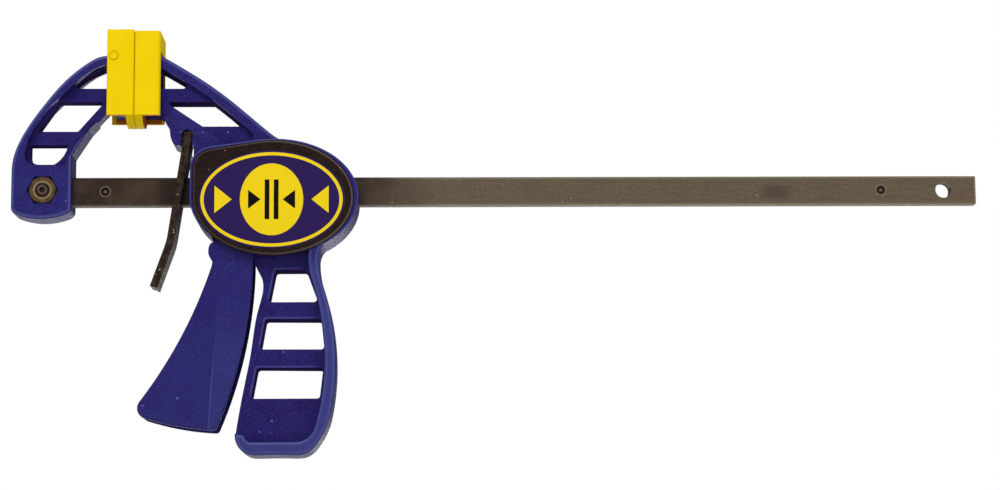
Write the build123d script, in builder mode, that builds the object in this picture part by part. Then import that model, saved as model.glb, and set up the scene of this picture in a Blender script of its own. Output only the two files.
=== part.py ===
"""One-handed bar clamp with a quick release lever, built piece by piece in millimetres.

+X runs along the bar, away from the fixed jaw. +Z points from the bar to the jaw tips,
and -Y is the clamp's labelled side. The origin lies on the bar's centre line, in the
middle plane of the clamp, where the closed jaw pads meet.
"""
import os
from math import atan2, cos, degrees, sin, sqrt

from build123d import *

# Bar: flat steel, one through hole near each end and one stop dimple inside each hole.
bar_height = 6.0
bar_thickness = 3.5
bar_left, bar_right = -25.5, 178.3
bolt_x, end_hole_x = -19.0, 171.4
dimple_xs = (-6.15, 158.0)
bar_hole_radius = 1.7
bar_side = bar_thickness / 2

# Bolt and nut of the fixed jaw: M3.
bolt_radius = 1.5
bolt_head_radius, bolt_head_height = 2.75, 1.7
nut_flats, nut_height = 5.5, 2.3
nut_gap = 0.15

# Half widths along Y.
jaw_half = 4.1
jaw_web_half = 2.0
arm_web_half = 2.9
body_half = 6.5
grip_web_half = 3.5
plate_half = 4.6
pad_half = 5.7

# Jaw tips: a plate on each jaw, and the soft pad that caps it.
plate_back = 4.6
plate_bottom, plate_top = 16.6, 32.7
pad_face = 0.05
pad_wall = 1.75
pad_bottom = 15.7
pad_back_bottom = 29.5
tongue_half, tongue_bottom = 5.2, 13.9
fixed_pad_back, fixed_pad_top = 5.75, 34.15
moving_pad_back, moving_pad_top = 5.5, 33.85

# Fixed jaw block around the bar's end.
block_left, block_right = -25.6, -13.0
block_bottom = -4.6
rim_rounding = 0.8

# Housing and cover: ellipses with a squared upper left corner.
head_x, head_z = 29.56, -1.9
head_a, head_b = 17.63, 12.35
head_left = head_x - head_a
head_corner_z, head_corner_radius = 8.2, 4.8
head_wall = 1.8
slide_gap = 0.2
spring_seat_x = 42.2
cover_x, cover_z = 29.38, -2.15
cover_a, cover_b = 16.8, 12.2
cover_corner_z, cover_corner_radius = 7.6, 4.2
cover_gap = 0.05
cover_inner, cover_outer = 5.9, 7.1
label_x, label_z = 29.1, -2.6
label_a, label_b = 15.2, 10.35
label_depth = 0.15

# Grip below the housing.
grip_bottom = -55.9

# Trigger: a channel that turns on a pin above the bar and straddles the grip.
pivot_x, pivot_z = 19.9, 4.7
pin_radius = 1.2
fork_inner, fork_outer = 2.6, 4.4
cheek_inner, cheek_outer = 3.9, 5.2
eye_radius = 2.35
ear_inner, ear_radius, ear_top = 4.7, 2.6, 8.2
nose_x, nose_z, nose_radius = 22.3, -1.2, 1.5
fork_reach = 18.0
trigger_reach = 55.4
spine = 2.0

# Driving levers: two plates hung on the bar, pushed by the trigger's noses.
lever_x = 24.0
lever_thickness = 1.5
lever_gap = 0.1
lever_width, lever_height = 8.6, 13.0

# Release lever: a bent strip that hangs in the hook above the bar.
hook_x, hook_z, hook_radius = 11.1, 11.6, 1.35
hook_bottom = 9.4
release_thickness = 1.6
release_half = 3.4
release_top = (11.245, 12.3)
release_bend = (7.74, -10.95)
release_end = (4.35, -20.5)

# Springs.
drive_coil_radius, drive_wire = 3.9, 0.4
drive_turns = 7
brake_coil_radius, brake_wire = 1.45, 0.25
brake_turns = 5
brake_z = 6.2
brake_start_x, brake_seat_x = 11.5, 15.0

os.makedirs("parts", exist_ok=True)


def save(piece, name):
    """Label a finished piece and write it to its own STEP file."""
    piece.part.label = name
    export_step(piece.part, f"parts/{name}.step")


# ---------------------------------------------------------------- bar
with BuildPart() as bar:
    with BuildSketch(Plane.YZ.offset(bar_left)):
        Rectangle(bar_thickness, bar_height)
    extrude(amount=bar_right - bar_left)
    fillet(bar.edges().filter_by(Axis.X), radius=0.45)
    with BuildSketch(Plane.XZ):
        with Locations((bolt_x, 0), (end_hole_x, 0)):
            Circle(bar_hole_radius)
    extrude(amount=bar_thickness, both=True, mode=Mode.SUBTRACT)
    with BuildSketch(Plane.XZ.offset(bar_side)):
        with Locations(*[(x, 0) for x in dimple_xs]):
            Circle(0.95)
    extrude(amount=-0.45, mode=Mode.SUBTRACT)
    with BuildSketch(Plane.XZ.offset(bar_side - 0.45)):
        with Locations(*[(x, 0) for x in dimple_xs]):
            Circle(0.4)
    extrude(amount=0.3)
    with BuildSketch(Plane.XZ.offset(-bar_side)):
        with Locations(*[(x, 0) for x in dimple_xs]):
            Circle(0.9)
    extrude(amount=-0.4, taper=20)
save(bar, "bar")


# ---------------------------------------------------------------- fixed jaw
def fixed_jaw_outline():
    """The whole side view of the fixed jaw."""
    with BuildLine() as side_view:
        Line((block_left, block_bottom), (block_left, 4.0))
        Spline((block_left, 4.0), (-24.1, 10.3), (-18.85, 18.5), (-13.0, 25.0),
               (-8.3, 28.3), (-plate_back, 28.95), tangents=((0, 1), (1, 0.05)))
        Polyline((-plate_back, 28.95), (-plate_back, plate_top), (-pad_wall, plate_top),
                 (-pad_wall, plate_bottom), (-plate_back, plate_bottom), (-plate_back, 18.2))
        Polyline((-plate_back, 18.2), (-9.51, 12.86), (block_right, 7.5))
        Line((block_right, 7.5), (block_right, block_bottom))
        ThreePointArc((block_right, block_bottom), (-19.2, -6.1), (block_left, block_bottom))
    make_face(side_view.edges())
    fillet(vertices().sort_by(Axis.Y)[:2], radius=1.6)


with BuildPart() as fixed_jaw:
    with BuildSketch(Plane.XZ):
        fixed_jaw_outline()
    # The front half comes first, and is mirrored once it has its symmetrical features.
    extrude(amount=jaw_half)
    rim_edges = fixed_jaw.faces().sort_by(Axis.Y)[0].edges()
    fillet(rim_edges.filter_by(lambda e: e.center().X < -plate_back - 0.2), radius=rim_rounding)
    # The thin web between the rims.
    with BuildSketch(Plane.XZ.offset(jaw_web_half)):
        with BuildLine():
            Spline((-plate_back, 27.05), (-8.49, 25.9), (-12.19, 23.2), (-15.51, 20.0),
                   (-18.44, 17.0), (-20.98, 13.2), (-22.6, 9.6), (-22.9, 7.4))
            ThreePointArc((-22.9, 7.4), (-22.3, 5.9), (-20.8, 5.3))
            Polyline((-20.8, 5.3), (-14.5, 5.3), (-13.9, 6.3))
            Spline((-13.9, 6.3), (-12.2, 9.6), (-8.7, 13.8), (-plate_back, 17.9))
            Line((-plate_back, 17.9), (-plate_back, 27.05))
        make_face()
    extrude(amount=jaw_half, mode=Mode.SUBTRACT)
    # Windows through the web, behind the rims.
    with BuildSketch(Plane.XZ):
        with BuildLine():
            Polyline((-14.1, 9.95), (-22.1, 9.95), (-22.1, 5.74), (-17.0, 5.74))
            ThreePointArc((-17.0, 5.74), (-15.4, 7.05), (-14.1, 9.95))
        make_face()
        fillet(vertices().group_by(Axis.Y)[0].sort_by(Axis.X)[0], radius=2.0)
    extrude(amount=jaw_web_half, mode=Mode.SUBTRACT)
    with BuildSketch(Plane.XZ):
        with BuildLine():
            Polyline((-16.2, 19.2), (-6.46, 19.2), (-12.03, 12.8), (-20.6, 12.8), close=True)
        make_face()
        fillet(vertices(), radius=0.4)
    extrude(amount=jaw_web_half, mode=Mode.SUBTRACT)
    with BuildSketch(Plane.XZ):
        with BuildLine():
            Polyline((-9.2, 25.2), (-6.8, 26.3), (-5.2, 26.6), (-5.2, 22.06), (-12.7, 22.06),
                     (-12.4, 23.2), (-9.2, 25.2))
        make_face()
        fillet(vertices().group_by(Axis.Y)[0].sort_by(Axis.X)[0], radius=0.4)
    extrude(amount=jaw_web_half, mode=Mode.SUBTRACT)
    # Jaw plate, wider than the rims, which the pad grips.
    with BuildSketch(Plane.XZ):
        with Locations(((-plate_back - pad_wall) / 2, (plate_bottom + plate_top) / 2)):
            Rectangle(plate_back - pad_wall, plate_top - plate_bottom)
    extrude(amount=plate_half)
    mirror(about=Plane.XZ)
    # Slot for the bar, bolt hole, and a hexagon pocket for the nut on the front.
    with BuildSketch(Plane.YZ.offset(block_left - 1)):
        Rectangle(bar_thickness, bar_height)
    extrude(amount=block_right - block_left + 2, mode=Mode.SUBTRACT)
    with BuildSketch(Plane.XZ):
        with Locations((bolt_x, 0)):
            Circle(bar_hole_radius)
    extrude(amount=jaw_half, both=True, mode=Mode.SUBTRACT)
    with BuildSketch(Plane.XZ.offset(bar_side)):
        with Locations((bolt_x, 0)):
            RegularPolygon(nut_flats / 2 + nut_gap, 6, major_radius=False)
    extrude(amount=jaw_half, mode=Mode.SUBTRACT)
save(fixed_jaw, "fixed_jaw")

# ---------------------------------------------------------------- fixed jaw bolt and nut
with BuildPart() as fixed_jaw_nut:
    with BuildSketch(Plane.XZ.offset(bar_side)):
        with Locations((bolt_x, 0)):
            RegularPolygon(nut_flats / 2, 6, major_radius=False)
            Circle(bolt_radius, mode=Mode.SUBTRACT)
    extrude(amount=nut_height)
    # Cone that trims the outer corners.
    with BuildSketch(Plane.XZ.offset(bar_side)):
        with Locations((bolt_x, 0)):
            Circle(4.05)
    extrude(amount=nut_height, taper=30, mode=Mode.INTERSECT)
save(fixed_jaw_nut, "fixed_jaw_nut")

with BuildPart() as fixed_jaw_bolt:
    with BuildSketch(Plane.XZ.offset(-jaw_half)):
        with Locations((bolt_x, 0)):
            Circle(bolt_head_radius)
    extrude(amount=-bolt_head_height)
    fillet(fixed_jaw_bolt.faces().sort_by(Axis.Y)[-1].edges(), radius=0.7)
    with BuildSketch(Plane.XZ.offset(-jaw_half)):
        with Locations((bolt_x, 0)):
            Circle(bolt_radius)
    bolt_end = bar_side + nut_height + 0.35
    extrude(amount=jaw_half + bolt_end)
    chamfer(fixed_jaw_bolt.faces().sort_by(Axis.Y)[0].edges(), length=0.35)
    # Socket in the head, and the small centre mark in the far end.
    with BuildSketch(Plane.XZ.offset(-jaw_half - bolt_head_height)):
        with Locations((bolt_x, 0)):
            RegularPolygon(1.0, 6, major_radius=False)
    extrude(amount=1.0, mode=Mode.SUBTRACT)
    with BuildSketch(Plane.XZ.offset(bolt_end)):
        with Locations((bolt_x, 0)):
            Circle(0.6)
    extrude(amount=-0.4, mode=Mode.SUBTRACT)
save(fixed_jaw_bolt, "fixed_jaw_bolt")


# ---------------------------------------------------------------- jaw pads
def soft_pad(side, back, top, back_rounding):
    """A cap over a jaw plate: side is -1 for the fixed jaw and +1 for the moving jaw."""
    with BuildPart() as pad:
        with BuildSketch(Plane.XY.offset(pad_bottom)):
            with Locations((side * (pad_face + back) / 2, 0)):
                Rectangle(back - pad_face, 2 * pad_half)
        extrude(amount=top - pad_bottom)
        fillet(pad.edges().filter_by(Axis.Z).sort_by(lambda e: side * e.center().X)[:2],
               radius=0.4)
        fillet(pad.edges().filter_by(Axis.Z).sort_by(lambda e: side * e.center().X)[-2:],
               radius=back_rounding)
        fillet(pad.faces().sort_by(Axis.Z)[-1].edges(), radius=0.3)
        # Tongue of the face wall, which reaches below the plate.
        with BuildSketch(Plane.YZ.offset(side * pad_face)):
            with BuildLine():
                ThreePointArc((-tongue_half, pad_bottom), (0, tongue_bottom),
                              (tongue_half, pad_bottom))
                Polyline((tongue_half, pad_bottom), (tongue_half, pad_bottom + 0.5),
                         (-tongue_half, pad_bottom + 0.5), (-tongue_half, pad_bottom))
            make_face()
        extrude(amount=side * (pad_wall - pad_face))
        # Pocket for the jaw plate, open below, and open behind up to the back wall.
        with BuildSketch(Plane.XY.offset(pad_bottom)):
            with Locations((side * (pad_wall + plate_back) / 2, 0)):
                Rectangle(plate_back - pad_wall, 2 * plate_half)
        extrude(amount=plate_top - pad_bottom, mode=Mode.SUBTRACT)
        with BuildSketch(Plane.XY.offset(pad_bottom)):
            with Locations((side * (plate_back + back) / 2, 0)):
                Rectangle(back - plate_back + 0.1, 2 * plate_half)
        extrude(amount=pad_back_bottom - pad_bottom, mode=Mode.SUBTRACT)
    return pad


with BuildPart() as fixed_pad:
    add(soft_pad(-1, fixed_pad_back, fixed_pad_top, 0.4).part)
    with BuildSketch(Plane.XZ.offset(pad_half)):
        with Locations((-4.3, 28.5)):
            Circle(0.95)
            Circle(0.7, mode=Mode.SUBTRACT)
    extrude(amount=0.12)
save(fixed_pad, "fixed_pad")

save(soft_pad(1, moving_pad_back, moving_pad_top, 0.85), "moving_pad")


# ---------------------------------------------------------------- moving jaw body
def oval(x, z, a, b, corner_z, corner_radius):
    """An ellipse whose upper left corner is squared out to the height corner_z."""
    # The corner's top edge is a tangent of the ellipse.
    touch = 2 * atan2(b, corner_z - z)
    with BuildLine() as side_view:
        FilletPolyline((x - a, z), (x - a, corner_z), (x + a * cos(touch), z + b * sin(touch)),
                       radius=corner_radius)
        EllipticalCenterArc((x, z), a, b, 180, arc_size=180 + degrees(touch))
    make_face(side_view.edges())


def head_outline(grow=0.0):
    """Side view of the housing, or of the chamber inside its wall."""
    oval(head_x, head_z, head_a + grow, head_b + grow, head_corner_z + grow,
         head_corner_radius + grow)


def cover_outline(grow=0.0):
    """Side view of a cover, or of the seat round it."""
    oval(cover_x, cover_z, cover_a + grow, cover_b + grow, cover_corner_z + grow,
         cover_corner_radius + grow)


def release_slot():
    """The hook that the release lever hangs in, open downwards."""
    with Locations((hook_x, hook_z)):
        Circle(hook_radius)
    with BuildLine() as throat:
        Polyline((9.95, hook_z), (9.75, hook_bottom - 0.4), (12.15, hook_bottom - 0.4),
                 (12.15, hook_z), close=True)
    make_face(throat.edges())


with BuildPart() as arm:
    with BuildSketch(Plane.XZ):
        with BuildLine():
            Polyline((plate_back, plate_bottom), (pad_wall, plate_bottom),
                     (pad_wall, plate_top), (plate_back, plate_top), (plate_back, 29.2))
            Spline((plate_back, 29.2), (9.0, 26.8), (15.8, 22.5), (22.6, 17.2), (28.0, 12.6),
                   (32.5, 10.2), tangents=((1, -0.45), (1, -0.2)))
            Polyline((32.5, 10.2), (32.5, 4.0), (head_left + 0.6, 4.0),
                     (head_left + 0.6, hook_bottom), (9.3, hook_bottom))
            Spline((9.3, hook_bottom), (8.35, 9.75), (7.84, 10.6), (7.54, 11.86),
                   (7.15, 13.58), (6.1, 15.5), (plate_back, plate_bottom),
                   tangents=((-1, 0), (-1, 0.6)))
        make_face()
    extrude(amount=jaw_half)
    rim_edges = arm.faces().sort_by(Axis.Y)[0].edges()
    fillet(rim_edges.filter_by(lambda e: e.length > 11 and 6 < e.center().X < 31),
           radius=rim_rounding)
    with BuildSketch(Plane.XZ.offset(arm_web_half)):
        with BuildLine():
            Spline((plate_back, 26.6), (7.8, 24.8), (14.5, 20.6), (21.1, 15.4), (24.9, 12.0))
            Polyline((24.9, 12.0), (24.9, 9.0), (19.9, 9.0), (14.0, 13.7), (8.3, 17.5),
                     (6.4, 15.4), (plate_back, 15.4), (plate_back, 26.6))
        make_face()
    extrude(amount=jaw_half, mode=Mode.SUBTRACT)
    # Windows through the web, behind the rim.
    with BuildSketch(Plane.XZ):
        with BuildLine():
            Polyline((5.2, 21.85), (12.5, 21.85), (5.2, 26.3), close=True)
        make_face()
        fillet(vertices().sort_by(Axis.X)[-1], radius=0.7)
    extrude(amount=arm_web_half, mode=Mode.SUBTRACT)
    with BuildSketch(Plane.XZ):
        with BuildLine():
            Polyline((6.3, 19.05), (17.0, 19.05), (22.9, 13.7), (14.17, 13.7), close=True)
        make_face()
        fillet(vertices(), radius=0.4)
    extrude(amount=arm_web_half, mode=Mode.SUBTRACT)
    with BuildSketch(Plane.XZ):
        release_slot()
    extrude(amount=jaw_half, mode=Mode.SUBTRACT)
    with BuildSketch(Plane.XZ):
        with Locations(((plate_back + pad_wall) / 2, (plate_bottom + plate_top) / 2)):
            Rectangle(plate_back - pad_wall, plate_top - plate_bottom)
    extrude(amount=plate_half)


def grip_back_edge():
    """Back and underside of the grip: tangent arcs from the housing to the front."""
    TangentArc((38.87, -14.6), (42.0, -10.8), tangent=(0, 1))
    neck = TangentArc((38.87, -14.6), (39.85, -20.6), tangent=(0, -1))
    palm = TangentArc(neck @ 1, (41.5, -47.4), tangent=neck % 1)
    heel = TangentArc(palm @ 1, (38.0, -54.4), tangent=palm % 1)
    corner = TangentArc(heel @ 1, (34.5, grip_bottom), tangent=heel % 1)
    underside = TangentArc(corner @ 1, (25.9, grip_bottom), tangent=corner % 1)
    TangentArc(underside @ 1, (21.7, -51.4), tangent=underside % 1)


def grip_outline():
    """The whole side view of the grip, up to the mechanism chamber."""
    with BuildLine() as side_view:
        grip_back_edge()
        Spline((21.7, -51.4), (23.4, -41.6), (24.8, -34.2), (26.2, -25.5), (27.1, -19.2),
               (25.5, -15.8), (24.6, -8.4), tangents=((0.15, 1), (0, 1)))
        Polyline((24.6, -8.4), (42.0, -8.4), (42.0, -10.8))
    make_face(side_view.edges())


with BuildPart() as grip:
    # Raised rim down the back of the grip and along its underside.
    with BuildSketch(Plane.XZ):
        with BuildLine():
            grip_back_edge()
            Line((21.7, -51.4), (23.8, -51.75))
            TangentArc((23.8, -51.75), (25.4, -53.1), tangent=(0, -1))
            Line((25.4, -53.1), (34.2, -53.1))
            heel = TangentArc((34.2, -53.1), (38.1, -50.2), tangent=(1, 0))
            palm = TangentArc(heel @ 1, (40.05, -33.0), tangent=heel % 1)
            wrist = TangentArc(palm @ 1, (37.3, -19.0), tangent=palm % 1)
            neck = TangentArc(wrist @ 1, (36.75, -13.6), tangent=wrist % 1)
            Polyline(neck @ 1, (36.75, -9.0), (42.0, -9.0), (42.0, -10.8))
        make_face()
    extrude(amount=body_half)
    rim_edges = grip.faces().sort_by(Axis.Y)[0].edges()
    fillet(rim_edges.filter_by(lambda e: e.center().Z < -11), radius=rim_rounding)
    # Web that the trigger closes over, thinner where the trigger's fork sweeps past it.
    with BuildSketch(Plane.XZ):
        grip_outline()
        with Locations((pivot_x, pivot_z)):
            Circle(fork_reach + 0.5, mode=Mode.SUBTRACT)
    extrude(amount=grip_web_half)
    with BuildSketch(Plane.XZ):
        grip_outline()
    extrude(amount=fork_inner - 0.4)
    # Windows through the web.
    for corners in (((29.75, -16.95), (36.2, -16.95), (38.75, -23.8), (28.4, -23.8)),
                    ((27.75, -27.3), (39.4, -27.4), (40.05, -33.75), (26.65, -33.7)),
                    ((26.05, -37.5), (39.85, -37.65), (39.1, -44.0), (24.85, -44.0))):
        with BuildSketch(Plane.XZ):
            with BuildLine():
                Polyline(*corners, close=True)
            make_face()
            fillet(vertices(), radius=0.65)
        extrude(amount=grip_web_half, mode=Mode.SUBTRACT)

with BuildPart() as moving_jaw_body:
    with BuildSketch(Plane.XZ):
        head_outline()
    # The front half comes first, and is mirrored once it has its symmetrical features.
    extrude(amount=body_half)
    fillet(moving_jaw_body.faces().sort_by(Axis.Y)[0].edges(), radius=0.35)
    # Mechanism chamber, flat where the driving spring sits.
    with BuildSketch(Plane.XZ):
        head_outline(-head_wall)
        with Locations((spring_seat_x + 10, 0)):
            Rectangle(20, 40, mode=Mode.SUBTRACT)
    extrude(amount=body_half, mode=Mode.SUBTRACT)
    # Mouth that the trigger swings through.
    with BuildSketch(Plane.XZ):
        with BuildLine():
            Polyline((17.3, -8.4), (15.0, -13.2), (15.0, -18), (36.6, -18), (36.6, -13.2),
                     (37.4, -8.4), close=True)
        make_face()
    extrude(amount=body_half, mode=Mode.SUBTRACT)
    add(arm.part)
    # The chamber again, where the arm's plate runs into it.
    with BuildSketch(Plane.XZ):
        head_outline(-head_wall)
        with Locations((spring_seat_x + 10, 0)):
            Rectangle(20, 40, mode=Mode.SUBTRACT)
        with BuildLine():
            Polyline((12, -8.4), (50, -8.4), (50, -30), (12, -30), close=True)
        make_face(mode=Mode.SUBTRACT)
    extrude(amount=body_half, mode=Mode.SUBTRACT)
    add(grip.part)
    # Seat for the cover.
    with BuildSketch(Plane.XZ.offset(cover_inner)):
        cover_outline(cover_gap)
    extrude(amount=body_half, mode=Mode.SUBTRACT)
    # Ear that carries one end of the trigger pin.
    with BuildSketch(Plane.XZ.offset(ear_inner)):
        with BuildLine():
            ThreePointArc((pivot_x - ear_radius, pivot_z), (pivot_x, pivot_z - ear_radius),
                          (pivot_x + ear_radius, pivot_z))
            Polyline((pivot_x + ear_radius, pivot_z), (pivot_x + ear_radius, ear_top),
                     (pivot_x - ear_radius, ear_top), (pivot_x - ear_radius, pivot_z))
        make_face()
        with Locations((pivot_x, pivot_z)):
            Circle(pin_radius, mode=Mode.SUBTRACT)
    extrude(amount=cover_inner - ear_inner)
    mirror(about=Plane.XZ)
    # Boss and pocket for the brake spring.
    with BuildSketch(Plane.YZ.offset(head_left + 0.8)):
        with Locations((0, brake_z)):
            Circle(2.45)
    extrude(amount=brake_seat_x + 0.9 - head_left - 0.8)
    with BuildSketch(Plane.YZ.offset(head_left - 0.5)):
        with Locations((0, brake_z)):
            Circle(1.85)
    extrude(amount=brake_seat_x - head_left + 0.5, mode=Mode.SUBTRACT)
    # Passage for the bar.
    with BuildSketch(Plane.YZ.offset(8.0)):
        Rectangle(bar_thickness + 2 * slide_gap, bar_height + 2 * slide_gap)
    extrude(amount=45, mode=Mode.SUBTRACT)
save(moving_jaw_body, "moving_jaw_body")


# ---------------------------------------------------------------- covers and label
def cover_plate(side):
    """Oval cover with a bevelled edge: side is 1 for the front (-Y), -1 for the rear."""
    with BuildPart() as cover:
        with BuildSketch(Plane.XZ.offset(side * cover_inner)):
            cover_outline()
        extrude(amount=side * (cover_outer - cover_inner))
        outer_face = cover.faces().sort_by(Axis.Y)[0 if side > 0 else -1]
        chamfer(outer_face.edges(), length=0.55)
    return cover


with BuildPart() as front_cover:
    add(cover_plate(1).part)
    with BuildSketch(Plane.XZ.offset(cover_outer)):
        with Locations((label_x, label_z)):
            Ellipse(label_a + 0.1, label_b + 0.1)
    extrude(amount=-label_depth, mode=Mode.SUBTRACT)
save(front_cover, "front_cover")

save(cover_plate(-1), "rear_cover")

with BuildPart() as front_label:
    with BuildSketch(Plane.XZ.offset(cover_outer - label_depth)):
        with Locations((label_x, label_z)):
            Ellipse(label_a, label_b)
    extrude(amount=label_depth)
save(front_label, "front_label")

# ---------------------------------------------------------------- trigger and its pin
shoulder_top, shoulder_bottom = (16.3, -11.6), (16.1, -14.4)
finger_top, finger_bottom = (16.45, -16.5), (1.85, -44.6)
toe_left, toe_right = 3.0, 17.7
grip_side_top = (25.2, -14.2)
crease_top, crease_bottom = (18.0, -20.8), (16.2, -50.2)
crease_slope = 0.07


def on_toe_arc(x):
    """A point of the trigger's lower end, which is an arc about the pivot."""
    return (x, pivot_z - sqrt(trigger_reach**2 - (pivot_x - x)**2))


def trigger_outline():
    """Side view of the trigger below the housing."""
    with BuildLine() as side_view:
        finger = ThreePointArc(finger_top, (10.6, -30.6), finger_bottom)
        notch = TangentArc(finger_top, (16.67, -15.3), tangent=-(finger % 0))
        Line(notch @ 1, shoulder_bottom)
        ThreePointArc(shoulder_bottom, (15.85, -13.0), shoulder_top)
        TangentArc(finger_bottom, on_toe_arc(toe_left), tangent=finger % 1)
        ThreePointArc(on_toe_arc(toe_left), on_toe_arc(10.0), on_toe_arc(toe_right))
        ThreePointArc(on_toe_arc(toe_right), (23.4, -32.3), grip_side_top)
        Polyline(grip_side_top, (24.2, -12.4), (21.6, -10.2), (18.4, -10.4), shoulder_top)
    make_face(side_view.edges())
    fillet(vertices().sort_by(Axis.Y)[0], radius=0.9)


with BuildPart() as trigger:
    # Finger channel: a solid profile, then the groove that closes over the grip's web.
    with BuildSketch(Plane.XZ):
        trigger_outline()
    extrude(amount=cheek_outer)
    side_edges = trigger.faces().sort_by(Axis.Y)[0].edges()
    fillet(side_edges.filter_by(lambda e: e.center().Z < -17), radius=0.75)
    with BuildSketch(Plane.XZ):
        with BuildLine():
            Line((finger_top[0] + spine, -9.0), (finger_top[0] + spine, finger_top[1]))
            ThreePointArc((finger_top[0] + spine, finger_top[1]), (10.6 + spine, -30.6),
                          (finger_bottom[0] + 1.1 * spine, finger_bottom[1]))
            Polyline((finger_bottom[0] + 1.1 * spine, finger_bottom[1]), (2.6, -48.5),
                     (2.6, -53), (30, -53), (30, -9.0), (finger_top[0] + spine, -9.0))
        make_face()
    extrude(amount=cheek_inner, mode=Mode.SUBTRACT)
    # Fork that reaches up past the bar to the pivot, with a nose for the driving levers.
    with BuildSketch(Plane.XZ.offset(fork_inner)):
        with BuildLine():
            Polyline((pivot_x - eye_radius, pivot_z), (17.5, -4.0), (18.2, -10.0),
                     (16.7, -12.0), (17.7, -12.6), (24.4, -12.6), (21.4, -9.2), (21.2, -6.0),
                     (21.6, -2.0), (pivot_x + eye_radius, pivot_z), close=True)
        make_face()
        with Locations((pivot_x, pivot_z)):
            Circle(eye_radius)
        with Locations((nose_x, nose_z)):
            Circle(nose_radius)
        with Locations((pivot_x, pivot_z)):
            Circle(pin_radius + 0.05, mode=Mode.SUBTRACT)
    extrude(amount=fork_outer - fork_inner)
    # Thick step that joins the fork to the channel.
    with BuildSketch(Plane.XZ.offset(fork_inner)):
        with BuildLine():
            Polyline((18.4, -10.4), (16.7, -12.0), (17.7, -12.6), (24.4, -12.6), (21.6, -10.2),
                     close=True)
        make_face()
    extrude(amount=cheek_outer - fork_inner)
    # The cheek's outer face falls away behind a crease.
    crease_lean = (crease_bottom[0] - crease_top[0]) / (crease_top[1] - crease_bottom[1])
    split(bisect_by=Plane(origin=(crease_top[0], -cheek_outer, crease_top[1]),
                          z_dir=(crease_slope, -1, crease_slope * crease_lean)),
          keep=Keep.BOTTOM)
    mirror(about=Plane.XZ)
save(trigger, "trigger")

with BuildPart() as trigger_pin:
    with BuildSketch(Plane.XZ):
        with Locations((pivot_x, pivot_z)):
            Circle(pin_radius)
    extrude(amount=cover_inner, both=True)
    chamfer(trigger_pin.edges(), length=0.25)
save(trigger_pin, "trigger_pin")

# ---------------------------------------------------------------- driving levers
for count, name in enumerate(("driving_lever_front", "driving_lever_rear")):
    with BuildPart() as driving_lever:
        start = lever_x + count * (lever_thickness + lever_gap)
        with BuildSketch(Plane.YZ.offset(start)):
            RectangleRounded(lever_width, lever_height, 1.0)
            Rectangle(bar_thickness + 0.3, bar_height + 0.3, mode=Mode.SUBTRACT)
        extrude(amount=lever_thickness)
    save(driving_lever, name)


# ---------------------------------------------------------------- release lever
with BuildPart() as release_lever:
    with BuildSketch(Plane.XZ):
        with BuildLine():
            FilletPolyline(release_top, release_bend, release_end, radius=12)
        trace(line_width=release_thickness)
    extrude(amount=release_half, both=True)
    # Slot for the bar, square to the strip.
    lean_x = release_top[0] - release_bend[0]
    lean_z = release_top[1] - release_bend[1]
    slot_x = release_top[0] - release_top[1] * lean_x / lean_z
    with BuildSketch(Plane((slot_x, 0, 0), x_dir=(0, 1, 0), z_dir=(lean_z, 0, -lean_x))):
        Rectangle(bar_thickness + 0.4, 6.7)
    extrude(amount=3, both=True, mode=Mode.SUBTRACT)
save(release_lever, "release_lever")


# ---------------------------------------------------------------- springs
def coil(start_x, end_x, centre_z, coil_radius, wire, turns):
    """Compression spring along X with ends ground flat."""
    length = end_x - start_x
    pitch = (length - 2 * wire) / turns
    with BuildPart() as spring:
        with BuildLine() as path:
            Helix(pitch=pitch, height=length, radius=coil_radius,
                  center=(start_x, 0, centre_z), direction=(1, 0, 0))
        with BuildSketch(Plane(origin=path.line @ 0, z_dir=path.line % 0)):
            Circle(wire)
        sweep(is_frenet=True)
        split(bisect_by=Plane.YZ.offset(start_x), keep=Keep.TOP)
        split(bisect_by=Plane.YZ.offset(end_x), keep=Keep.BOTTOM)
    return spring


drive_start_x = lever_x + 2 * lever_thickness + lever_gap
save(coil(drive_start_x, spring_seat_x, 0, drive_coil_radius, drive_wire, drive_turns),
     "driving_spring")
save(coil(brake_start_x, brake_seat_x, brake_z, brake_coil_radius, brake_wire, brake_turns),
     "brake_spring")
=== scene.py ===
"""The look of a one-handed bar clamp: its finishes, printed label, springs, camera and light.

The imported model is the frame, in metres: +X runs along the bar, +Z to the jaw tips, and -Y is
the labelled side. Sizes are written in millimetres and turned to metres by MM.
"""
import math

import bmesh
import bpy
from mathutils import Matrix, Quaternion, Vector


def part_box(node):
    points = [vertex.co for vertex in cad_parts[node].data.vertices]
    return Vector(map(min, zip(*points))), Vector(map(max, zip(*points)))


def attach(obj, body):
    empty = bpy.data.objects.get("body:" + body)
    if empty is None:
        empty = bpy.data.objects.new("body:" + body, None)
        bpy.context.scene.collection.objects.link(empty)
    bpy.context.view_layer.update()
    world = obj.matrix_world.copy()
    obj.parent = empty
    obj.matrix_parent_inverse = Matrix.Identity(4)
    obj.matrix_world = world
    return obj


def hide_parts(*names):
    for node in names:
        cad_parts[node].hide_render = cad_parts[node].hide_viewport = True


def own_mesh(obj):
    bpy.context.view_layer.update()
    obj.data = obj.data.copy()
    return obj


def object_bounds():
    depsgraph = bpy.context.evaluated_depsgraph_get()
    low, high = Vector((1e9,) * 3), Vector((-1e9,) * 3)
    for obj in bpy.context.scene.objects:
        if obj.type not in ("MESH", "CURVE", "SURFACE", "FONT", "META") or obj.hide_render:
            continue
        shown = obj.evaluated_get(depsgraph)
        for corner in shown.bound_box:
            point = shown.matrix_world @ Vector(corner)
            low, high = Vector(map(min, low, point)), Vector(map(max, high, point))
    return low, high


MM = 0.001

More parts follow.
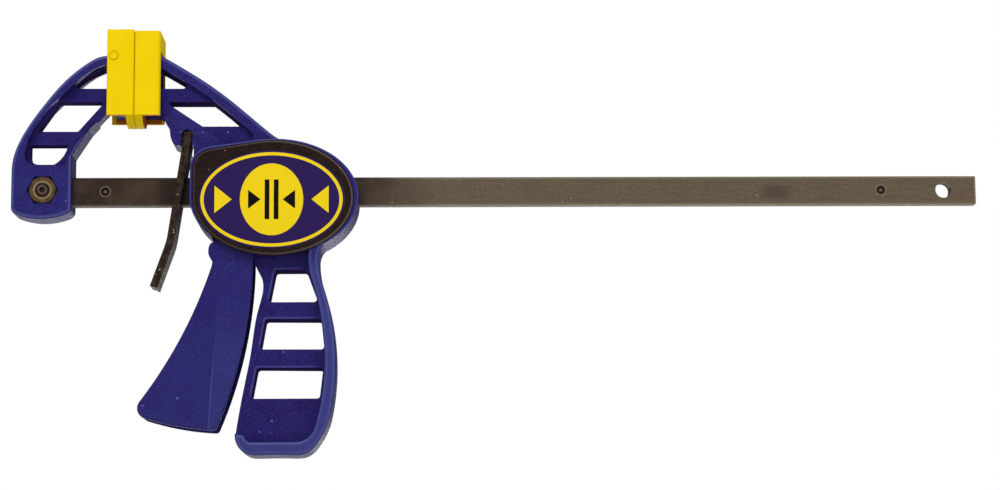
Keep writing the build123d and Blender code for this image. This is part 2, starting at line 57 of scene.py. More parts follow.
# How far faces lie from the clamp's middle plane.
JAW_WEB, JAW_FACE = 2.0 * MM, 4.1 * MM
ARM_WEB, GRIP_WEB, HOUSING_FACE = 2.9 * MM, 3.5 * MM, 6.5 * MM
PLATE_SIDE, PAD_SIDE, COVER_FACE = 4.6 * MM, 5.7 * MM, 7.1 * MM
# The wall of a pad that faces the work, and the back and top of the jaw plate inside it.
PAD_WALL, PLATE_BACK, PLATE_TOP = 1.75 * MM, 4.6 * MM, 32.7 * MM
# Keeps a mask just off the face that bounds it.
HAIR = 0.02 * MM


# ---------------------------------------------------------------- building with nodes
def srgb(red, green, blue):
    """A colour given in 0-255 screen values, as the linear colour that a shader takes."""
    def linear(value):
        share = value / 255
        return share / 12.92 if share <= 0.04045 else ((share + 0.055) / 1.055) ** 2.4
    return (linear(red), linear(green), linear(blue), 1.0)


def feed(tree, socket, value):
    """Links value to the socket where it is another node's output, and else sets it."""
    if isinstance(value, bpy.types.NodeSocket):
        tree.links.new(value, socket)
    else:
        socket.default_value = value


def node(tree, kind, inputs=None, **settings):
    """Adds a shader node. inputs gives each socket a value, or the output that feeds it."""
    made = tree.nodes.new("ShaderNode" + kind)
    for name, value in settings.items():
        setattr(made, name, value)
    for key, value in (inputs or {}).items():
        feed(tree, made.inputs[key], value)
    return made


def math_node(tree, operation, *values):
    """The output of a Math node."""
    inputs = dict(enumerate(values))
    return node(tree, "Math", inputs, operation=operation).outputs[0]


def blend_colours(tree, share, first, second):
    """The first colour where share is 0, and the second where it is 1."""
    mix = node(tree, "Mix", data_type="RGBA")
    for socket, value in (("Factor_Float", share), ("A_Color", first), ("B_Color", second)):
        feed(tree, next(s for s in mix.inputs if s.identifier == socket), value)
    return next(s for s in mix.outputs if s.identifier == "Result_Color")


def ramp(tree, value, low, high, low_out=0.0, high_out=1.0):
    """value, remapped smoothly from low..high to low_out..high_out."""
    inputs = {"Value": value, "From Min": low, "From Max": high, "To Min": low_out,
              "To Max": high_out}
    return node(tree, "MapRange", inputs, interpolation_type="SMOOTHSTEP").outputs[0]


def start_group(name, inputs, outputs):
    """A new node group, with its inner input sockets and its inner output sockets."""
    tree = bpy.data.node_groups.new(name, "ShaderNodeTree")
    for socket, kind in inputs.items():
        tree.interface.new_socket(socket, in_out="INPUT", socket_type="NodeSocket" + kind)
    for socket, kind in outputs.items():
        tree.interface.new_socket(socket, in_out="OUTPUT", socket_type="NodeSocket" + kind)
    return tree, tree.nodes.new("NodeGroupInput").outputs, tree.nodes.new("NodeGroupOutput").inputs


def place_group(tree, group, inputs):
    """A node group in a material, with its sockets set or fed."""
    placed = node(tree, "Group", node_tree=group)
    for key, value in inputs.items():
        feed(tree, placed.inputs[key], value)
    return placed.outputs


def position(tree):
    """Where a point lies on the clamp: the Object coordinates, and their X, Y and Z."""
    at = node(tree, "TexCoord").outputs["Object"]
    parts = node(tree, "SeparateXYZ", {"Vector": at}).outputs
    return at, parts["X"], parts["Y"], parts["Z"]


def size_of(tree, value):
    """value without its sign."""
    return math_node(tree, "ABSOLUTE", value)


def below(tree, value, limit):
    """1 where value is less than limit, and else 0."""
    return math_node(tree, "LESS_THAN", value, limit)


def beyond(tree, value, limit):
    """1 where value is more than limit, and else 0."""
    return math_node(tree, "GREATER_THAN", value, limit)


def product(tree, first, *others):
    """Masks and shares, multiplied: 1 where they are all 1."""
    for other in others:
        first = math_node(tree, "MULTIPLY", first, other)
    return first


def band(tree, value, low, high, soft):
    """1 between low and high, fading over soft at both ends."""
    return product(tree, ramp(tree, value, low - soft, low),
                   ramp(tree, value, high, high + soft, 1.0, 0.0))


# ---------------------------------------------------------------- shared effects
def moulded_grain_group():
    """Fine sparkle of a moulded surface, and slow patches of lighter and darker colour."""
    tree, given, out = start_group(
        "moulded_grain", {"Vector": "Vector", "Grain Size": "Float", "Patch Size": "Float"},
        {"Height": "Float", "Patches": "Float"})
    fine_scale = math_node(tree, "DIVIDE", 1.0, given["Grain Size"])
    patch_scale = math_node(tree, "DIVIDE", 1.0, given["Patch Size"])
    fine = node(tree, "TexNoise", {"Vector": given["Vector"], "Scale": fine_scale, "Detail": 3.0})
    slow = node(tree, "TexNoise", {"Vector": given["Vector"], "Scale": patch_scale, "Detail": 4.0,
                                   "Roughness": 0.65})
    tree.links.new(fine.outputs["Fac"], out["Height"])
    tree.links.new(ramp(tree, slow.outputs["Fac"], 0.35, 0.65), out["Patches"])
    return tree


def specks_group():
    """Scattered round specks: a few cells of a Voronoi pattern carry one each."""
    tree, given, out = start_group(
        "specks", {"Vector": "Vector", "Spacing": "Float", "Size": "Float", "Share": "Float"},
        {"Mask": "Float"})
    scale = math_node(tree, "DIVIDE", 1.0, given["Spacing"])
    cells = node(tree, "TexVoronoi", {"Vector": given["Vector"], "Scale": scale})
    radius = math_node(tree, "DIVIDE", given["Size"], given["Spacing"])
    near = below(tree, cells.outputs["Distance"], radius)
    pick = node(tree, "SeparateColor", {"Color": cells.outputs["Color"]}).outputs["Red"]
    chosen = below(tree, pick, given["Share"])
    tree.links.new(product(tree, near, chosen), out["Mask"])
    return tree


def streaks_group():
    """Fine lines along X, as rolling or drawing leaves in steel."""
    tree, given, out = start_group(
        "streaks", {"Vector": "Vector", "Width": "Float", "Stretch": "Float"}, {"Lines": "Float"})
    parts = node(tree, "SeparateXYZ", {"Vector": given["Vector"]}).outputs
    squeezed = math_node(tree, "DIVIDE", parts["X"], given["Stretch"])
    vector = node(tree, "CombineXYZ", {"X": squeezed, "Y": parts["Y"], "Z": parts["Z"]})
    scale = math_node(tree, "DIVIDE", 1.0, given["Width"])
    noise = node(tree, "TexNoise", {"Vector": vector.outputs[0], "Scale": scale, "Detail": 4.0,
                                    "Roughness": 0.6})
    tree.links.new(ramp(tree, noise.outputs["Fac"], 0.3, 0.7), out["Lines"])
    return tree


GRAIN = moulded_grain_group()
SPECKS = specks_group()
STREAKS = streaks_group()


def start_material(name, **principled):
    """A material with its Principled BSDF set up, and the shader's tree."""
    material = bpy.data.materials.new(name)
    material.use_nodes = True
    tree = material.node_tree
    shader = tree.nodes["Principled BSDF"]
    for key, value in principled.items():
        shader.inputs[key.replace("_", " ")].default_value = value
    return material, tree, shader


def bump(tree, shader, height, distance):
    """Fine relief, distance deep, that follows height."""
    made = node(tree, "Bump", {"Height": height, "Distance": distance, "Strength": 1.0})
    tree.links.new(made.outputs[0], shader.inputs["Normal"])


def specked(tree, at, base, colour, strength, **settings):
    """base with scattered specks of colour."""
    mask = place_group(tree, SPECKS, {"Vector": at, **settings})["Mask"]
    return blend_colours(tree, product(tree, mask, strength), base, colour)


def finish_surface(tree, shader, base, height, smoothest, roughest, depth):
    """Feeds the shader its colour, and a roughness and a bump that follow height."""
    tree.links.new(base, shader.inputs["Base Color"])
    roughness = ramp(tree, height, 0.2, 0.8, smoothest, roughest)
    tree.links.new(roughness, shader.inputs["Roughness"])
    bump(tree, shader, height, depth)


def distance_from(tree, along, up, x, z):
    """Distance from the line through x and z that runs from front to back."""
    squares = [math_node(tree, "POWER", math_node(tree, "SUBTRACT", value, centre), 2.0)
               for value, centre in ((along, x), (up, z))]
    return math_node(tree, "SQRT", math_node(tree, "ADD", *squares))


# ---------------------------------------------------------------- finishes
# The colour of painted highlights on the nylon's rounded edges.
HIGHLIGHT_BLUE = srgb(86, 92, 160)
NYLON_SHINE = 0.14

# In mm, each of the grip's windows: top, bottom, left end of the top and of the bottom, right.
GRIP_WINDOWS = ((-16.95, -23.8, 29.75, 28.4, 36.2), (-27.35, -33.7, 27.75, 26.65, 39.4),
                (-37.6, -44.0, 26.05, 24.85, 39.6))


def moulded_nylon(name, raised_from, faces=(), highlight_share=0.0, highlighted=None, shaded=None):
    """Blue moulded nylon, with a painted sheen that makes what is raised from the web a little
    lighter.

    faces are the distances of raised faces from the middle plane, whose rounded edges get a
    painted highlight, as strong as highlight_share. highlighted and shaded make masks from the
    tree
    and X, the size of Y, and Z: where painted highlights pale the nylon, and where windows' walls
    are darkened by painted shade and have no shine.
    """
    material, tree, shader = start_material(name, Specular_IOR_Level=NYLON_SHINE)
    at, along, across, up = position(tree)
    side = size_of(tree, across)
    grain = place_group(tree, GRAIN, {"Vector": at, "Grain Size": 0.4 * MM,
                                      "Patch Size": 4.0 * MM})
    # Painted sheen: raised faces a little lighter and bluer than the web.
    raised = ramp(tree, side, raised_from, raised_from + 0.6 * MM)
    base = blend_colours(tree, raised, srgb(35, 20, 92), srgb(34, 23, 96))
    patchy = product(tree, grain["Patches"], 0.5)
    base = blend_colours(tree, patchy, base, srgb(40, 37, 112))
    speckled = ramp(tree, grain["Height"], 0.45, 0.65, 0.0, 0.4)
    base = blend_colours(tree, speckled, base, srgb(52, 54, 130))
    # Painted highlights along the rounded edges of the raised faces.
    for face in faces:
        edge_highlight = band(tree, side, face - 0.34 * MM, face - 0.05 * MM, 0.06 * MM)
        base = blend_colours(tree, product(tree, edge_highlight, highlight_share), base, HIGHLIGHT_BLUE)
    # Painted highlights where the given mask is set.
    if highlighted:
        base = blend_colours(tree, highlighted(tree, along, side, up), base, HIGHLIGHT_BLUE)
    if shaded:
        # Painted shade: the windows' walls get a duller brown-purple and lose their shine.
        shaded_walls = shaded(tree, along, side, up)
        base = blend_colours(tree, product(tree, shaded_walls, 0.5), base, srgb(68, 44, 76))
        shine = math_node(tree, "MULTIPLY_ADD", shaded_walls, -NYLON_SHINE, NYLON_SHINE)
        tree.links.new(shine, shader.inputs["Specular IOR Level"])
    base = specked(tree, at, base, srgb(130, 134, 205), 0.5, Spacing=2.4 * MM, Size=0.26 * MM,
                   Share=0.2)
    finish_surface(tree, shader, base, grain["Height"], 0.28, 0.44, 0.02 * MM)
    return material


def jaw_windows(tree, along, side, up):
    """Where shade is painted: the walls of the fixed jaw's windows, inside its web."""
    # A slanted line parts the windows from the jaw's lower edge.
    edge_lean, edge_at_bar, lowest = 0.844, -21.6 * MM, 5.5 * MM
    from_edge = math_node(tree, "MULTIPLY_ADD", up, -edge_lean, along)
    return product(tree, below(tree, from_edge, edge_at_bar), below(tree, side, JAW_WEB - HAIR),
                   beyond(tree, up, lowest))


def body_windows(tree, along, side, up):
    """Where shade is painted: the walls of the moving arm's and the grip's windows, inside their
    webs.
    """
    arm_foot, grip_top, grip_foot = 14 * MM, -16 * MM, -45 * MM
    arm = product(tree, below(tree, side, ARM_WEB - HAIR), beyond(tree, up, arm_foot))
    # The grip's outer side leans inwards at the neck and is upright lower down.
    neck_lean, neck_at_bar, outer_side = 0.372, 30.2 * MM, 40.3 * MM
    from_neck = math_node(tree, "MULTIPLY_ADD", up, neck_lean, along)
    grip = product(tree, below(tree, side, GRIP_WEB - HAIR), below(tree, up, grip_top),
                   beyond(tree, up, grip_foot), below(tree, along, outer_side),
                   below(tree, from_neck, neck_at_bar))
    return math_node(tree, "MAXIMUM", arm, grip)


def grip_highlights(tree, along, side, up):
    """Painted highlights on the rim round the grip and on the rounded edges above the windows."""
    # Painted highlight on the grip rim's rounded edge, lower down the grip.
    rim = ramp(tree, side, HOUSING_FACE - 0.4 * MM, HOUSING_FACE - 0.05 * MM, 0.0, 0.3)
    highlight = product(tree, rim, ramp(tree, up, -13 * MM, -18 * MM))
    on_web = product(tree, beyond(tree, side, GRIP_WEB - 0.2 * MM),
                     below(tree, side, GRIP_WEB + 0.2 * MM))
    for top, bottom, left_top, left_bottom, right in GRIP_WINDOWS:
        slope = (left_top - left_bottom) / (top - bottom)
        above = math_node(tree, "SUBTRACT", up, top * MM)
        from_left = math_node(tree, "SUBTRACT", along, left_top * MM)
        beside = math_node(tree, "SUBTRACT", product(tree, above, slope), from_left)
        # The line follows the window's top and left edges, and rounds the corner between them.
        outward = math_node(tree, "SMOOTH_MAX", above, beside, 0.9 * MM)
        # Painted highlight along the window's rounded edge.
        line = product(tree, band(tree, outward, 0.2 * MM, 0.36 * MM, 0.14 * MM), on_web,
                       ramp(tree, up, (bottom + 0.2) * MM, (bottom + 1.5) * MM, 0.0, 0.5),
                       ramp(tree, along, (right - 3) * MM, right * MM, 1.0, 0.0))
        highlight = math_node(tree, "MAXIMUM", highlight, line)
    return highlight


def trigger_facet(tree, along, side, up):
    """Painted light on the trigger: its facet behind the crease painted lighter, and a painted
    highlight on the crease lower down.
    """
    crease_lean, crease_at_bar = 0.061, 19.27 * MM
    upright = math_node(tree, "MULTIPLY_ADD", up, -crease_lean, along)
    from_crease = math_node(tree, "SUBTRACT", upright, crease_at_bar)
    lower = ramp(tree, up, -22 * MM, -36 * MM, 0.05, 0.17)
    facet = product(tree, ramp(tree, from_crease, -0.1 * MM, 0.1 * MM, 0.4, 1.0), lower,
                    ramp(tree, side, 4.0 * MM, 4.3 * MM))
    line = product(tree, band(tree, from_crease, -0.12 * MM, 0.12 * MM, 0.12 * MM),
                   ramp(tree, up, -30 * MM, -40 * MM, 0.0, 0.4))
    return math_node(tree, "MAXIMUM", facet, line)


def pad_rubber():
    """Soft yellow pad material, with painted shade underneath and in the jaw plate's pocket."""
    material, tree, shader = start_material("pad_rubber", Specular_IOR_Level=0.06)
    at, along, across, up = position(tree)
    grain = place_group(tree, GRAIN, {"Vector": at, "Grain Size": 0.5 * MM,
                                      "Patch Size": 6.0 * MM})
    base = blend_colours(tree, grain["Patches"], srgb(241, 206, 0), srgb(246, 211, 0))
    outward = size_of(tree, along)
    # Painted shade in the pocket round the jaw plate.
    pocket_shade = product(tree, below(tree, size_of(tree, across), PLATE_SIDE + 0.03 * MM),
                     band(tree, outward, PAD_WALL - 0.03 * MM, PLATE_BACK + 0.3 * MM, 0.01 * MM),
                     below(tree, up, PLATE_TOP + 0.8 * MM))
    base = blend_colours(tree, pocket_shade, base, srgb(190, 105, 14))
    # The wall's tongue reaches below the rest of the pad.
    tongue_depth = 1.8 * MM
    pad_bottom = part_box("fixed_pad")[0].z + tongue_depth
    # Painted shade on the pad's undersides.
    underside_shade = product(tree, beyond(tree, outward, PAD_WALL + 0.05 * MM),
                        below(tree, up, pad_bottom + 0.04 * MM))
    base = blend_colours(tree, underside_shade, base, srgb(222, 150, 22))
    # The moulded mark on the fixed pad's front.
    mark_x, mark_z = -4.3 * MM, 28.5 * MM
    ring = band(tree, distance_from(tree, along, up, mark_x, mark_z), 0.86 * MM, 1.0 * MM,
                0.1 * MM)
    front = below(tree, across, 0.2 * MM - PAD_SIDE)
    base = blend_colours(tree, product(tree, ring, front, 0.55), base, srgb(186, 140, 0))
    finish_surface(tree, shader, base, grain["Height"], 0.5, 0.65, 0.015 * MM)
    return material


def cover_plastic():
    """Dark brown-black cover plastic with a fine grain, pale specks and a painted highlight on its
    bevel.
    """
    material, tree, shader = start_material("cover_plastic", Specular_IOR_Level=0.14)
    at, along, across, _ = position(tree)
    grain = place_group(tree, GRAIN, {"Vector": at, "Grain Size": 0.4 * MM,
                                      "Patch Size": 2.5 * MM})
    base = blend_colours(tree, grain["Patches"], srgb(25, 13, 9), srgb(36, 21, 15))
    speckled = ramp(tree, grain["Height"], 0.5, 0.75, 0.0, 0.4)
    base = blend_colours(tree, speckled, base, srgb(66, 44, 35))
    # Painted highlight on the bevel, stronger to the right.
    bevel = band(tree, size_of(tree, across), COVER_FACE - 0.38 * MM, COVER_FACE - 0.07 * MM,
                 0.05 * MM)
    brighter_right = ramp(tree, along, 14 * MM, 44 * MM, 0.3, 0.75)
    base = blend_colours(tree, product(tree, bevel, brighter_right), base, srgb(108, 90, 82))
    base = specked(tree, at, base, srgb(165, 130, 112), 0.45, Spacing=1.6 * MM, Size=0.2 * MM,
                   Share=0.14)
    finish_surface(tree, shader, base, grain["Height"], 0.38, 0.55, 0.03 * MM)
    return material


def bar_steel():
    """Black oxide on rolled steel: brown, with painted shade between the jaws, and greyer towards
    the free end.
    """
    material, tree, shader = start_material("bar_steel", Metallic=0.15, Specular_IOR_Level=0.2)
    at, along, _, up = position(tree)
    streaks = place_group(tree, STREAKS, {"Vector": at, "Width": 0.4 * MM, "Stretch": 14.0})
    grain = place_group(tree, GRAIN, {"Vector": at, "Grain Size": 0.45 * MM,
                                      "Patch Size": 5.0 * MM})
    # Painted shade darkens the bar beside the fixed jaw and under the housing.
    near_jaws = blend_colours(tree, ramp(tree, along, -14 * MM, 1 * MM), srgb(42, 27, 20),
                              srgb(55, 38, 28))
    towards_free_end = ramp(tree, along, 44 * MM, 68 * MM)
    base = blend_colours(tree, towards_free_end, near_jaws, srgb(111, 97, 79))
    darker = product(tree, streaks["Lines"], 0.2)
    base = blend_colours(tree, darker, base, srgb(40, 29, 22))
    patchy = product(tree, grain["Patches"], 0.2)
    base = blend_colours(tree, patchy, base, srgb(118, 102, 82))
    pitted = ramp(tree, grain["Height"], 0.4, 0.6, 0.3, 0.0)
    base = blend_colours(tree, pitted, base, srgb(58, 44, 34))
    # Painted shade beside the release lever.
    lever_shade = product(tree, band(tree, along, 6.5 * MM, 13 * MM, 3 * MM), 0.7)
    base = blend_colours(tree, lever_shade, base, srgb(24, 14, 10))
    smudge = product(tree, band(tree, along, 134.5 * MM, 136.5 * MM, 3.5 * MM),
                     band(tree, up, -1.0 * MM, 0.3 * MM, 1.5 * MM),
                     ramp(tree, grain["Height"], 0.35, 0.6, 0.2, 0.75))
    base = blend_colours(tree, smudge, base, srgb(72, 58, 46))
    # The narrow upper and lower edges are paler towards the free end; between the jaws the lower
    # one is pale too and the upper one is darkened by painted shade.
    upper = ramp(tree, up, 2.35 * MM, 2.75 * MM, 0.0, 0.85)
    lower = ramp(tree, up, -2.6 * MM, -2.9 * MM)
    base = blend_colours(tree, upper, base,
                         blend_colours(tree, towards_free_end, srgb(22, 13, 10), srgb(126, 116, 94)))
    base = blend_colours(tree, lower, base,
                         blend_colours(tree, towards_free_end, srgb(90, 72, 57), srgb(138, 124, 104)))
    free_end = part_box("bar")[1].x
    sawn_end = ramp(tree, along, free_end - 0.35 * MM, free_end - 0.15 * MM)
    base = blend_colours(tree, sawn_end, base, srgb(164, 118, 84))
    for dimple in (-6.15 * MM, 158.0 * MM):
        from_middle = distance_from(tree, along, up, dimple, 0.0)
        rim = product(tree, band(tree, from_middle, 1.0 * MM, 1.12 * MM, 0.08 * MM), 0.5)
        base = blend_colours(tree, rim, base, srgb(150, 138, 118))
        sunk = ramp(tree, from_middle, 0.9 * MM, 1.0 * MM, 0.85, 0.0)
        base = blend_colours(tree, sunk, base, srgb(36, 23, 18))
        dot = ramp(tree, from_middle, 0.2 * MM, 0.42 * MM, 0.75, 0.0)
        base = blend_colours(tree, dot, base, srgb(122, 104, 84))
    base = specked(tree, at, base, srgb(168, 152, 130), 0.5, Spacing=1.8 * MM, Size=0.22 * MM,
                   Share=0.16)
    tree.links.new(base, shader.inputs["Base Color"])
    tree.links.new(ramp(tree, streaks["Lines"], 0.0, 1.0, 0.42, 0.6), shader.inputs["Roughness"])
    bump(tree, shader, streaks["Lines"], 0.01 * MM)
    return material


def dark_steel(name, dark, light, metal, rings=()):
    """Small steel pieces, paler in patches.

    rings are round the bolt, each an inner and an outer radius in mm, and a colour; among them are
    painted highlights and painted shade.
    """
    material, tree, shader = start_material(name, Metallic=metal, Specular_IOR_Level=0.3)
    at, along, _, up = position(tree)
    grain = place_group(tree, GRAIN, {"Vector": at, "Grain Size": 0.22 * MM,
                                      "Patch Size": 0.9 * MM})
    base = blend_colours(tree, grain["Patches"], dark, light)
    low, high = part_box("fixed_jaw_nut")
    from_bolt = distance_from(tree, along, up, (low.x + high.x) / 2, (low.z + high.z) / 2)
    for inner, outer, colour in rings:
        ring = product(tree, band(tree, from_bolt, inner * MM, outer * MM, 0.06 * MM), 0.65)
        base = blend_colours(tree, ring, base, colour)
    finish_surface(tree, shader, base, grain["Height"], 0.25, 0.45, 0.02 * MM)
    return material


def lever_steel():
    """Oxide finish of the levers: near black at the hook, rubbed bare towards the thumb end."""
    material, tree, shader = start_material("lever_steel", Metallic=0.1, Specular_IOR_Level=0.2)
    at, _, across, up = position(tree)
    grain = place_group(tree, GRAIN, {"Vector": at, "Grain Size": 0.2 * MM,
                                      "Patch Size": 1.0 * MM})
    base = blend_colours(tree, grain["Patches"], srgb(22, 13, 9), srgb(66, 47, 36))
    # The broad faces lie inside the strip's two narrow edges.
    broad = below(tree, size_of(tree, across), 3.3 * MM)
    thumb_end = ramp(tree, up, -4 * MM, -12 * MM)
    bare = product(tree, broad, thumb_end, ramp(tree, grain["Height"], 0.35, 0.6), 0.8)
    base = blend_colours(tree, bare, base, srgb(150, 146, 128))
    base = specked(tree, at, base, srgb(176, 162, 138), 0.6, Spacing=0.7 * MM, Size=0.2 * MM,
                   Share=0.16)
    finish_surface(tree, shader, base, grain["Height"], 0.35, 0.55, 0.03 * MM)
    return material


# ---------------------------------------------------------------- printed label
def label_film():
    """A navy oval with a yellow middle, where two arrowheads press two bars together."""
    low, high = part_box("front_label")
    centre = (low + high) / 2
    half_width, half_height = (high.x - low.x) / 2, (high.z - low.z) / 2
    material, tree, shader = start_material("label_film", Roughness=0.35, Specular_IOR_Level=0.15)
    _, along, _, up = position(tree)
    # The design is the same on both sides of its middle.
    from_middle_x = size_of(tree, math_node(tree, "SUBTRACT", along, centre.x))
    from_middle_z = size_of(tree, math_node(tree, "SUBTRACT", up, centre.z))

    def oval(width, height):
        """1 inside the oval of these half sizes."""
        squares = [math_node(tree, "POWER", math_node(tree, "DIVIDE", size, half), 2.0)
                   for size, half in ((from_middle_x, width), (from_middle_z, height))]
        return below(tree, math_node(tree, "ADD", *squares), 1.0)

    def arrowhead(tip, length, half):
        """1 inside a pair of triangles whose points are tip from the middle, pointing inwards."""
        behind = math_node(tree, "SUBTRACT", from_middle_x, tip)
        edge = product(tree, behind, half / length)
        return product(tree, below(tree, behind, length), below(tree, from_middle_z, edge))

    def bars(start, thickness, half):
        """1 inside a pair of upright bars."""
        return product(tree, beyond(tree, from_middle_x, start),
                       below(tree, from_middle_x, start + thickness),
                       below(tree, from_middle_z, half))

    navy, yellow, black = srgb(44, 25, 84), srgb(243, 211, 17), srgb(14, 10, 12)
    inside_line = oval(0.93 * half_width, 0.9 * half_height)
    inside_border = oval(0.975 * half_width, 0.965 * half_height)
    middle_oval = oval(6.6 * MM, 7.6 * MM)
    outer_heads = arrowhead(tip=8.3 * MM, length=3.6 * MM, half=2.9 * MM)
    inner_heads = arrowhead(tip=2.3 * MM, length=2.6 * MM, half=2.0 * MM)
    pressed_bars = bars(start=0.45 * MM, thickness=1.0 * MM, half=4.2 * MM)
    # A yellow line inside a thin navy border, then the yellow middle and what is on it.
    base = blend_colours(tree, inside_line, yellow, navy)
    base = blend_colours(tree, inside_border, navy, base)
    for mask, colour in ((middle_oval, yellow), (outer_heads, yellow), (pressed_bars, black),
                         (inner_heads, black)):
        base = blend_colours(tree, mask, base, colour)
    tree.links.new(base, shader.inputs["Base Color"])
    return material


# ---------------------------------------------------------------- finishes on the CAD nodes
def dress_nodes():
    """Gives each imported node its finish."""
    jaw_blue = moulded_nylon("jaw_blue", 2.4 * MM, (JAW_FACE,), 0.6, shaded=jaw_windows)
    housing_blue = moulded_nylon("housing_blue", 4.5 * MM, (JAW_FACE, HOUSING_FACE), 0.5,
                                 highlighted=grip_highlights, shaded=body_windows)
    trigger_blue = moulded_nylon("trigger_blue", 3.0 * MM, highlighted=trigger_facet)
    yellow = pad_rubber()
    cover = cover_plastic()
    # The nut: a dark joint round the bolt and a painted highlight on the bore's edge.
    zinc = dark_steel("fastener_steel", srgb(74, 54, 36), srgb(116, 92, 62), 0.45,
                      [(1.42, 1.58, srgb(30, 20, 16)), (1.62, 1.95, srgb(176, 156, 118))])
    # The bolt's end: a dark centre, a painted highlight ring and a ring of painted shade near its
    # edge.
    bolt_end = dark_steel("bolt_steel", srgb(46, 32, 27), srgb(78, 62, 50), 0.4,
                          [(0.0, 0.5, srgb(30, 18, 18)), (0.68, 0.9, srgb(128, 112, 92)),
                           (1.15, 1.4, srgb(36, 24, 19))])
    black_lever = lever_steel()
    wire = dark_steel("spring_steel", srgb(110, 108, 105), srgb(150, 148, 144), 0.9)
    finishes = {
        "bar": bar_steel(), "fixed_jaw": jaw_blue, "fixed_jaw_bolt": bolt_end,
        "fixed_jaw_nut": zinc, "fixed_pad": yellow, "moving_pad": yellow,
        "moving_jaw_body": housing_blue, "front_cover": cover, "rear_cover": cover,
        "front_label": label_film(), "trigger": trigger_blue, "trigger_pin": zinc,
        "driving_lever_front": black_lever, "driving_lever_rear": black_lever,
        "release_lever": black_lever, "driving_spring": wire, "brake_spring": wire,
    }
    for name, finish in finishes.items():
        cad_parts[name].data.materials.clear()
        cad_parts[name].data.materials.append(finish)


# ---------------------------------------------------------------- springs
WIRE_SIDES, STEPS_PER_TURN = 10, 24


def coil_spring(name, body, coil_radius, wire_radius, open_turns):
    """A compression spring along X in its CAD solid's place, with a closed turn at each end.
    """
    low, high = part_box(name)
    level = (low.z + high.z) / 2
    made = bmesh.new()
    first = Vector((low.x + wire_radius, 0, level + coil_radius))
    upright = Matrix.Rotation(math.radians(90), 4, "X")
    bmesh.ops.create_circle(made, cap_ends=False, segments=WIRE_SIDES, radius=wire_radius,
                            matrix=Matrix.Translation(first) @ upright)
    geometry = made.verts[:] + made.edges[:]
    closed_pitch = 2.1 * wire_radius
    length = high.x - low.x - 2 * wire_radius
    open_pitch = (length - 2 * closed_pitch) / open_turns
    for turns, pitch in ((1, closed_pitch), (open_turns, open_pitch), (1, closed_pitch)):
        geometry = bmesh.ops.spin(made, geom=geometry, cent=(0, 0, level), axis=(1, 0, 0),
                                  dvec=(pitch / STEPS_PER_TURN, 0, 0), angle=math.tau * turns,
                                  steps=STEPS_PER_TURN * turns,
                                  use_duplicate=False)["geom_last"]
    bmesh.ops.holes_fill(made, edges=made.edges, sides=0)
    bmesh.ops.recalc_face_normals(made, faces=made.faces)
    mesh = bpy.data.meshes.new(name + "_coil")
    made.to_mesh(mesh)
    made.free()
    for face in mesh.polygons:
        face.use_smooth = True
    coil = bpy.data.objects.new(name + "_coil", mesh)
    bpy.context.scene.collection.objects.link(coil)
    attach(coil, body)
    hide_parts(name)
    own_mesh(coil)
    mesh.materials.append(bpy.data.materials["spring_steel"])


def make_springs():
    """The spring that returns the driving levers, and the one that tilts the release lever."""
    coil_spring("driving_spring", "moving_jaw", coil_radius=3.9 * MM,
                wire_radius=0.4 * MM, open_turns=5)
    coil_spring("brake_spring", "moving_jaw", coil_radius=1.45 * MM,
                wire_radius=0.25 * MM, open_turns=3)


# ---------------------------------------------------------------- floor, light and camera
def make_floor(level):
    """A plain pale floor, which a camera below it sees through."""
    mesh = bpy.data.meshes.new("floor")
    made = bmesh.new()
    bmesh.ops.create_grid(made, x_segments=1, y_segments=1, size=2.0)
    bmesh.ops.translate(made, verts=made.verts, vec=(0, 0, level))
    made.to_mesh(mesh)
    made.free()
    floor = bpy.data.objects.new("floor", mesh)
    bpy.context.scene.collection.objects.link(floor)
    material, tree, shader = start_material("floor_paint", Roughness=0.9, Specular_IOR_Level=0.1)
    shader.inputs["Base Color"].default_value = srgb(240, 240, 240)
    behind = node(tree, "NewGeometry").outputs["Backfacing"]
    camera_ray = node(tree, "LightPath").outputs["Is Camera Ray"]
    hidden = product(tree, behind, camera_ray)
    clear = node(tree, "BsdfTransparent").outputs[0]
    mix = node(tree, "MixShader", {0: hidden, 1: shader.outputs[0], 2: clear})
    tree.links.new(mix.outputs[0], tree.nodes["Material Output"].inputs["Surface"])
    mesh.materials.append(material)


ROOM, GLOSSY_ROOM = 0.42, 0.15


def make_world():
    """Soft light from all round, white where the camera looks straight at it."""
    world = bpy.data.worlds.new("studio")
    bpy.context.scene.world = world
    world.use_nodes = True
    tree = world.node_tree
    path = node(tree, "LightPath").outputs
    shown = math_node(tree, "MAXIMUM", path["Is Camera Ray"], path["Is Transmission Ray"])
    # Reflections see a darker room than the one that gives diffuse light.
    room = math_node(tree, "MULTIPLY_ADD", path["Is Glossy Ray"], GLOSSY_ROOM - ROOM, ROOM)
    light = math_node(tree, "MAXIMUM", shown, room)
    background = tree.nodes["Background"]
    background.inputs["Color"].default_value = (1, 1, 1, 1)
    tree.links.new(light, background.inputs["Strength"])


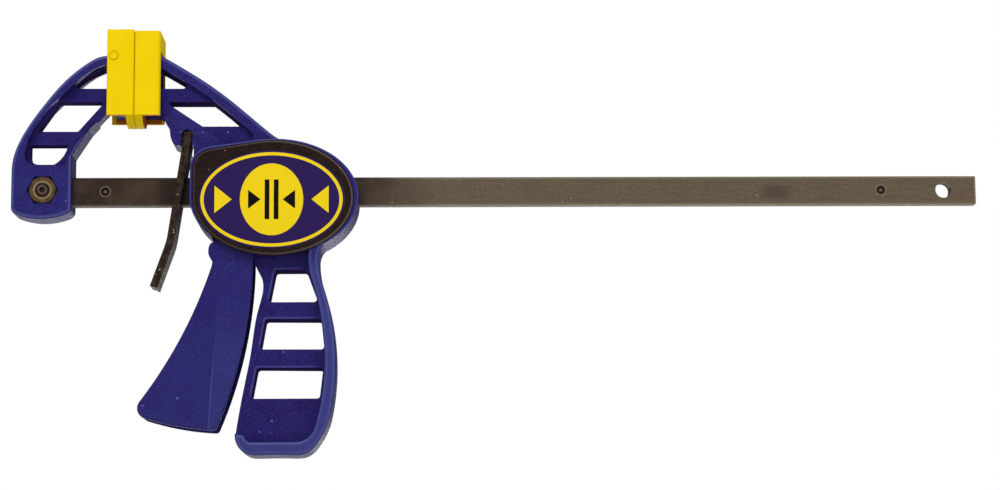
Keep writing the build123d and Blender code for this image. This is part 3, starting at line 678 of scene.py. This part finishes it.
def make_lamp(name, place, aim, size, power, spread=180):
    """A soft area lamp at place, turned to aim, with its beam's spread in degrees."""
    lamp = bpy.data.lights.new(name, "AREA")
    lamp.shape = "DISK"
    lamp.size = size
    lamp.energy = power
    lamp.spread = math.radians(spread)
    holder = bpy.data.objects.new(name, lamp)
    bpy.context.scene.collection.objects.link(holder)
    holder.location = place
    holder.rotation_mode = "QUATERNION"
    holder.rotation_quaternion = (Vector(aim) - Vector(place)).to_track_quat("-Z", "Y")


def make_camera():
    """A long lens below the clamp's level and near its middle, turned a little on its axis."""
    place = Vector((59.81, -526.5, -89.7)) * MM
    aim = Vector((76.75, -6.5, -12.31)) * MM
    roll = math.radians(-0.445)
    lens = bpy.data.cameras.new("camera")
    lens.sensor_width = 36.0
    lens.lens = 90.6
    lens.clip_start = 0.01
    camera = bpy.data.objects.new("camera", lens)
    bpy.context.scene.collection.objects.link(camera)
    camera.location = place
    camera.rotation_mode = "QUATERNION"
    turn = (place - aim).to_track_quat("Z", "Y")
    camera.rotation_quaternion = turn @ Quaternion((0, 0, 1), roll)
    bpy.context.scene.camera = camera


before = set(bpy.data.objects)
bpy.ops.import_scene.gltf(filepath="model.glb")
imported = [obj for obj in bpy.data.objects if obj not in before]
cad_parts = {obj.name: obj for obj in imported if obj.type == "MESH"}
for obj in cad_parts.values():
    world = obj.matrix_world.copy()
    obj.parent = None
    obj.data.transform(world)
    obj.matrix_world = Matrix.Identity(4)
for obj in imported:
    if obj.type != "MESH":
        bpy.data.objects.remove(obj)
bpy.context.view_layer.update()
dress_nodes()
make_springs()

low_corner, high_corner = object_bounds()
middle = (low_corner + high_corner) / 2
make_floor(low_corner.z - 15 * MM)
make_world()
make_lamp("key", (-0.12, -0.50, 0.62), middle, size=0.45, power=3.6)
make_lamp("fill", (0.60, -0.60, 0.10), middle, size=0.5, power=0.9)
# This one lights only the floor behind, which the undersides reflect.
make_lamp("floor_light", (0.08, 0.45, 0.40), (0.08, 0.45, low_corner.z), size=0.4, power=0.9,
          spread=70)
make_camera()
bpy.context.scene.view_settings.view_transform = "Standard"
